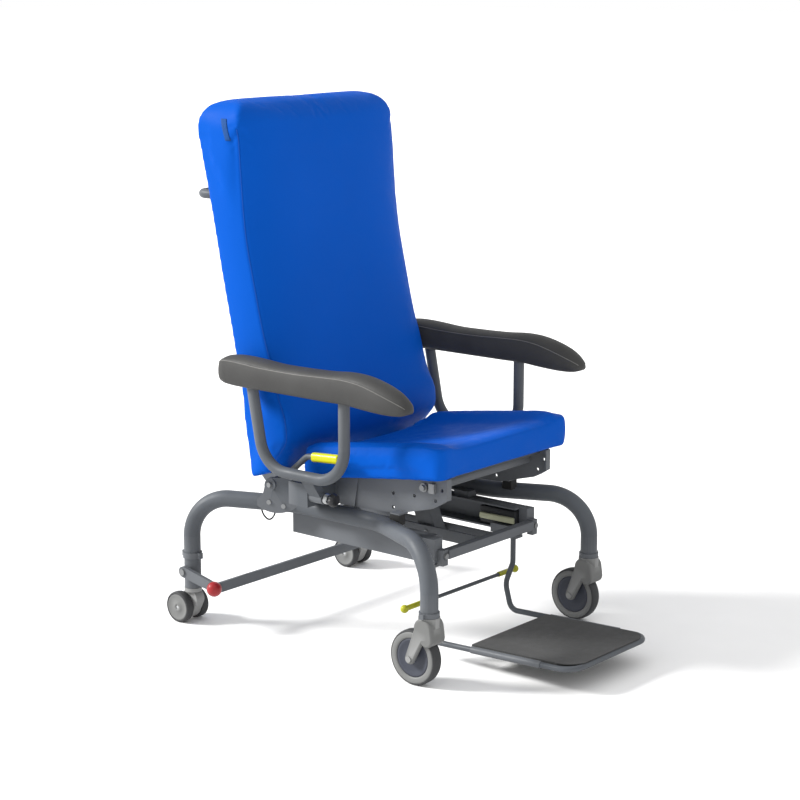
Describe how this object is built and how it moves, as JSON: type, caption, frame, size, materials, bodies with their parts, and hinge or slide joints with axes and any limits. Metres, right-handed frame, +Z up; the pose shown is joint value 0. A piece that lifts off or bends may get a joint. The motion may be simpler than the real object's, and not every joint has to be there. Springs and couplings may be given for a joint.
{
  "type": "patient recliner chair",
  "caption": "Upholstered patient recliner on castors with a tilting seat, reclining back, swing-away armrests, a sliding footrest and a rear brake bar.",
  "frame": {"origin": "on the floor under the middle of the chair's outline", "axes": "+Z up, -Y the way the sitter faces, +X the sitter's left hand"},
  "size_m": [0.702, 1.061, 1.24],
  "materials": {
    "frame_paint": "frame paint",
    "castor_plastic": "castor plastic",
    "tyre": "tyre",
    "hub_plastic": "hub plastic",
    "blue_vinyl": "blue vinyl",
    "arm_pad": "arm pad",
    "plate_rubber": "plate rubber",
    "yellow_plastic": "yellow plastic",
    "red_plastic": "red plastic",
    "black_plastic": "black plastic",
    "zinc_steel": "zinc steel",
    "chrome": "chrome",
    "cream_plastic": "cream plastic",
    "black_rubber": "black rubber",
    "cable_black": "cable black",
    "board_grey": "board grey",
    "tag_fabric": "tag fabric"
  },
  "bodies": {
    "base": {"side_tube_left": "frame_paint", "side_tube_right": "frame_paint", "side_rails": "frame_paint", "frame_blocks": "frame_paint", "cross_bars": "frame_paint", "centre_spine": "frame_paint", "leg_collars": "frame_paint", "castor_stems": "zinc_steel", "hinge_brackets": "frame_paint", "seat_stops": "black_rubber", "base_pins": "zinc_steel", "release_cable": "cable_black"},
    "brake": {"brake_bar": "frame_paint", "brake_knobs": "red_plastic"},
    "seat": {"seat_plate_left": "frame_paint", "seat_plate_right": "frame_paint", "seat_frame": "frame_paint", "seat_board": "board_grey", "seat_cushion": "blue_vinyl", "seat_fasteners": "zinc_steel", "arm_brackets": "frame_paint", "gas_cylinder": "black_plastic"},
    "back": {"back_cushion": "blue_vinyl", "back_board": "board_grey", "back_frame": "frame_paint", "push_bar": "frame_paint", "back_tag": "tag_fabric"},
    "gas_rod": {"gas_rod": "chrome"},
    "handle": {"release_handle": "frame_paint", "handle_grip": "yellow_plastic"},
    "strut": {"strut_outer": "frame_paint"},
    "strut_head": {"strut_inner": "frame_paint"},
    "footrest": {"foot_frame": "frame_paint", "footplate": "plate_rubber", "plate_clasps": "frame_paint", "slide_blocks": "cream_plastic", "slide_hangers": "frame_paint"},
    "pedal": {"pedal_bar": "frame_paint", "pedal_knobs": "yellow_plastic"},
    "front_swivel_left": {"front_fork_left": "castor_plastic", "front_axle_left": "zinc_steel"},
    "front_wheel_left": {"front_hub_left": "hub_plastic", "front_tyre_left": "tyre"},
    "rear_swivel_left": {"rear_hood_left": "castor_plastic", "rear_axle_left": "zinc_steel"},
    "rear_wheel_left": {"rear_wheels_left": "tyre"},
    "armrest_left": {"armrest_tube_left": "frame_paint", "armrest_pad_left": "arm_pad"},
    "knob_left": {"lock_knob_left": "black_plastic"},
    "front_swivel_right": {"front_fork_right": "castor_plastic", "front_axle_right": "zinc_steel"},
    "front_wheel_right": {"front_hub_right": "hub_plastic", "front_tyre_right": "tyre"},
    "rear_swivel_right": {"rear_hood_right": "castor_plastic", "rear_axle_right": "zinc_steel"},
    "rear_wheel_right": {"rear_wheels_right": "tyre"},
    "armrest_right": {"armrest_tube_right": "frame_paint", "armrest_pad_right": "arm_pad"},
    "knob_right": {"lock_knob_right": "black_plastic"}
  },
  "joints": [
    {"name": "brake_tilt", "type": "hinge", "parent": "base", "child": "brake", "pos_m": [0, 0.476, 0.127], "axis": [1, 0, 0], "range_deg": [-10, 10]},
    {"name": "seat_tilt", "type": "hinge", "parent": "base", "child": "seat", "pos_m": [0, 0.268, 0.358], "axis": [-1, 0, 0], "range_deg": [0, 10]},
    {"name": "back_recline", "type": "hinge", "parent": "seat", "child": "back", "pos_m": [0, 0.268, 0.358], "axis": [-1, 0, 0], "range_deg": [0, 40]},
    {"name": "gas_slide", "type": "slide", "parent": "seat", "child": "gas_rod", "axis": [0, -1, 0], "range_m": [0, 0.0275]},
    {"name": "handle_lift", "type": "hinge", "parent": "seat", "child": "handle", "pos_m": [-0.272, 0.18, 0.406], "axis": [-1, 0, 0], "range_deg": [0, 15], "stiffness_Nm_per_rad": 2, "springref_deg": -17.19},
    {"name": "strut_swing", "type": "hinge", "parent": "base", "child": "strut", "pos_m": [0, -0.02, 0.25], "axis": [1, 0, 0], "range_deg": [-0.5, 4]},
    {"name": "strut_extend", "type": "slide", "parent": "strut", "child": "strut_head", "axis": [0, 0.4181, 0.9084], "range_m": [0, 0.04]},
    {"name": "footrest_slide", "type": "slide", "parent": "base", "child": "footrest", "axis": [0, 1, 0], "range_m": [0, 0.25]},
    {"name": "pedal_press", "type": "hinge", "parent": "footrest", "child": "pedal", "pos_m": [-0.126, -0.094, 0.178], "axis": [1, 0, 0], "range_deg": [0, 10], "stiffness_Nm_per_rad": 6, "springref_deg": -8.59},
    {"name": "front_castor_swivel_left", "type": "hinge", "parent": "base", "child": "front_swivel_left", "pos_m": [0.3, -0.252, 0.15], "axis": [0, 0, 1], "continuous": true},
    {"name": "front_wheel_spin_left", "type": "hinge", "parent": "front_swivel_left", "child": "front_wheel_left", "pos_m": [0.3, -0.215, 0.0625], "axis": [1, 0, 0], "continuous": true},
    {"name": "rear_castor_swivel_left", "type": "hinge", "parent": "base", "child": "rear_swivel_left", "pos_m": [0.3, 0.473, 0.08], "axis": [0, 0, 1], "continuous": true},
    {"name": "rear_wheel_spin_left", "type": "hinge", "parent": "rear_swivel_left", "child": "rear_wheel_left", "pos_m": [0.3, 0.493, 0.0375], "axis": [1, 0, 0], "continuous": true},
    {"name": "armrest_swing_left", "type": "hinge", "parent": "seat", "child": "armrest_left", "pos_m": [0.28, 0.1, 0.366], "axis": [0, 1, 0], "range_deg": [0, 150]},
    {"name": "lock_knob_pull_left", "type": "slide", "parent": "seat", "child": "knob_left", "axis": [0, -1, 0], "range_m": [0, 0.008], "stiffness_N_per_m": 1500, "springref_m": -0.004},
    {"name": "front_castor_swivel_right", "type": "hinge", "parent": "base", "child": "front_swivel_right", "pos_m": [-0.3, -0.252, 0.15], "axis": [0, 0, 1], "continuous": true},
    {"name": "front_wheel_spin_right", "type": "hinge", "parent": "front_swivel_right", "child": "front_wheel_right", "pos_m": [-0.3, -0.215, 0.0625], "axis": [1, 0, 0], "continuous": true},
    {"name": "rear_castor_swivel_right", "type": "hinge", "parent": "base", "child": "rear_swivel_right", "pos_m": [-0.3, 0.473, 0.08], "axis": [0, 0, 1], "continuous": true},
    {"name": "rear_wheel_spin_right", "type": "hinge", "parent": "rear_swivel_right", "child": "rear_wheel_right", "pos_m": [-0.3, 0.493, 0.0375], "axis": [1, 0, 0], "continuous": true},
    {"name": "armrest_swing_right", "type": "hinge", "parent": "seat", "child": "armrest_right", "pos_m": [-0.28, 0.1, 0.366], "axis": [0, -1, 0], "range_deg": [0, 150]},
    {"name": "lock_knob_pull_right", "type": "slide", "parent": "seat", "child": "knob_right", "axis": [0, -1, 0], "range_m": [0, 0.008], "stiffness_N_per_m": 1500, "springref_m": -0.004}
  ],
  "couplings": [
    {"joint": "gas_slide", "follows": "back_recline", "m_per_rad": 0.0378},
    {"joint": "strut_swing", "follows": "seat_tilt", "ratio": 0.34},
    {"joint": "strut_extend", "follows": "seat_tilt", "m_per_rad": 0.2241}
  ]
}
